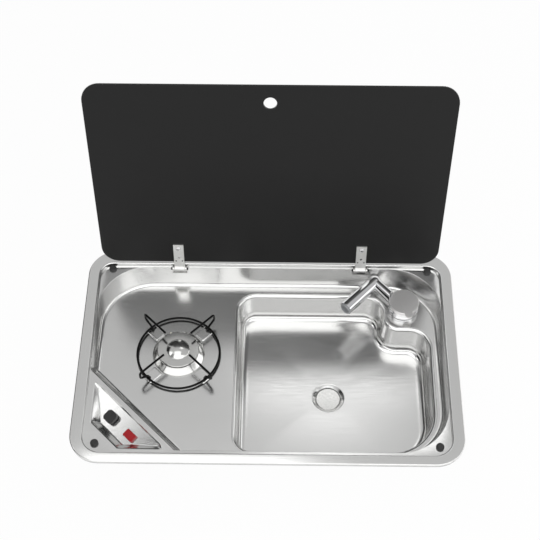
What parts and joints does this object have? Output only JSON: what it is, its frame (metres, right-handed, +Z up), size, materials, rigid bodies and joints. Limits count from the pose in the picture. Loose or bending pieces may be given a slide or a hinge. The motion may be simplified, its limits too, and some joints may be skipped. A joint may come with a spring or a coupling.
{
  "type": "hob and sink combo",
  "caption": "Drop-in pressed stainless hob and sink with a gas burner, a bowl, a low swivel tap, a corner control console and a hinged black glass lid.",
  "frame": {"origin": "middle of the flange in plan, on the worktop plane under the rim seal", "axes": "+X to the sink side, -Y to the user's front edge, +Z up; the lid stands open at the rear"},
  "size_m": [0.6, 0.4534, 0.4938],
  "materials": {
    "stainless_steel": "satin pressed stainless sheet",
    "black_glass": "polished, back-painted black",
    "black_enamel": "matt black enamel",
    "chrome": "polished plating",
    "polished_steel": "bright rolled steel",
    "zinc_steel": "zinc-plated",
    "cast_aluminium": "die-cast, dull",
    "brass": "turned",
    "copper_pipe": "drawn tube",
    "black_rubber": "matt",
    "grey_foam": "closed-cell foam",
    "black_plastic": "fine grain",
    "grey_plastic": "plain",
    "red_plastic": "glossy",
    "white_ceramic": "glazed",
    "red_silicone": "soft sleeve"
  },
  "bodies": {
    "unit": {"top_pressing": "stainless_steel", "sink_bowl": "stainless_steel", "rim_seal": "grey_foam", "clamp_brackets": "zinc_steel", "clamp_arms": "zinc_steel", "clamp_screws": "zinc_steel", "corner_buffers": "black_rubber", "hinge_bracket_left": "polished_steel", "hinge_bracket_right": "polished_steel", "hinge_pin_left": "black_enamel", "hinge_pin_right": "black_enamel", "hinge_rivets": "polished_steel", "burner_cup": "cast_aluminium", "burner_skirt": "polished_steel", "burner_head": "cast_aluminium", "burner_cap": "polished_steel", "burner_studs": "zinc_steel", "gas_jet": "brass", "spark_electrode": "white_ceramic", "thermocouple": "polished_steel", "pan_support": "black_enamel", "support_grommets": "black_rubber", "gas_valve": "brass", "panel_nut": "zinc_steel", "burner_pipe": "copper_pipe", "gas_inlet_pipe": "copper_pipe", "pipe_nuts": "brass", "thermocouple_lead": "copper_pipe", "ignition_lead": "red_silicone", "igniter_body": "black_plastic", "tap_gasket": "black_rubber", "tap_base": "chrome", "tap_nut": "brass", "tap_tails": "copper_pipe", "waste_flange": "polished_steel", "waste_gasket": "black_rubber", "waste_nut": "grey_plastic", "waste_body": "grey_plastic"},
    "lid": {"glass_lid": "black_glass", "hinge_leaf_left": "polished_steel", "hinge_leaf_right": "polished_steel", "leaf_pad_left": "black_rubber", "leaf_pad_right": "black_rubber", "leaf_screws": "chrome"},
    "valve_push": {"thrust_pin": "zinc_steel"},
    "knob": {"gas_knob": "black_plastic", "valve_spindle": "zinc_steel"},
    "igniter_push": {"igniter_button": "red_plastic"},
    "spout": {"tap_spout": "chrome", "tap_aerator": "grey_plastic"},
    "handle": {"tap_handle": "chrome"},
    "plug": {"sink_plug": "polished_steel", "plug_seal": "black_rubber"}
  },
  "joints": [
    {"name": "lid_hinge", "type": "hinge", "parent": "unit", "child": "lid", "pos_m": [0, 0.1627, 0.001], "axis": [1, 0, 0], "range_deg": [0, 105.3]},
    {"name": "valve_press", "type": "slide", "parent": "unit", "child": "valve_push", "axis": [0.2067, 0.2067, -0.9563], "range_m": [0, 0.0025], "stiffness_N_per_m": 300, "springref_m": -0.005},
    {"name": "knob_turn", "type": "hinge", "parent": "valve_push", "child": "knob", "pos_m": [-0.24011, -0.11304, -0.01011], "axis": [-0.2067, -0.2067, 0.9563], "range_deg": [0, 210]},
    {"name": "igniter_press", "type": "slide", "parent": "unit", "child": "igniter_push", "axis": [0.2067, 0.2067, -0.9563], "range_m": [0, 0.004], "stiffness_N_per_m": 400, "springref_m": -0.006},
    {"name": "spout_swivel", "type": "hinge", "parent": "unit", "child": "spout", "pos_m": [0.2225, 0.1115, -0.015], "axis": [0, 0, 1], "range_deg": [0, 50]},
    {"name": "lever_turn", "type": "hinge", "parent": "unit", "child": "handle", "pos_m": [0.2225, 0.1115, -0.017], "axis": [0, 0, 1], "range_deg": [-20, 35]},
    {"name": "plug_lift", "type": "slide", "parent": "unit", "child": "plug", "axis": [0, 0, 1], "range_m": [0, 0.025]}
  ]
}
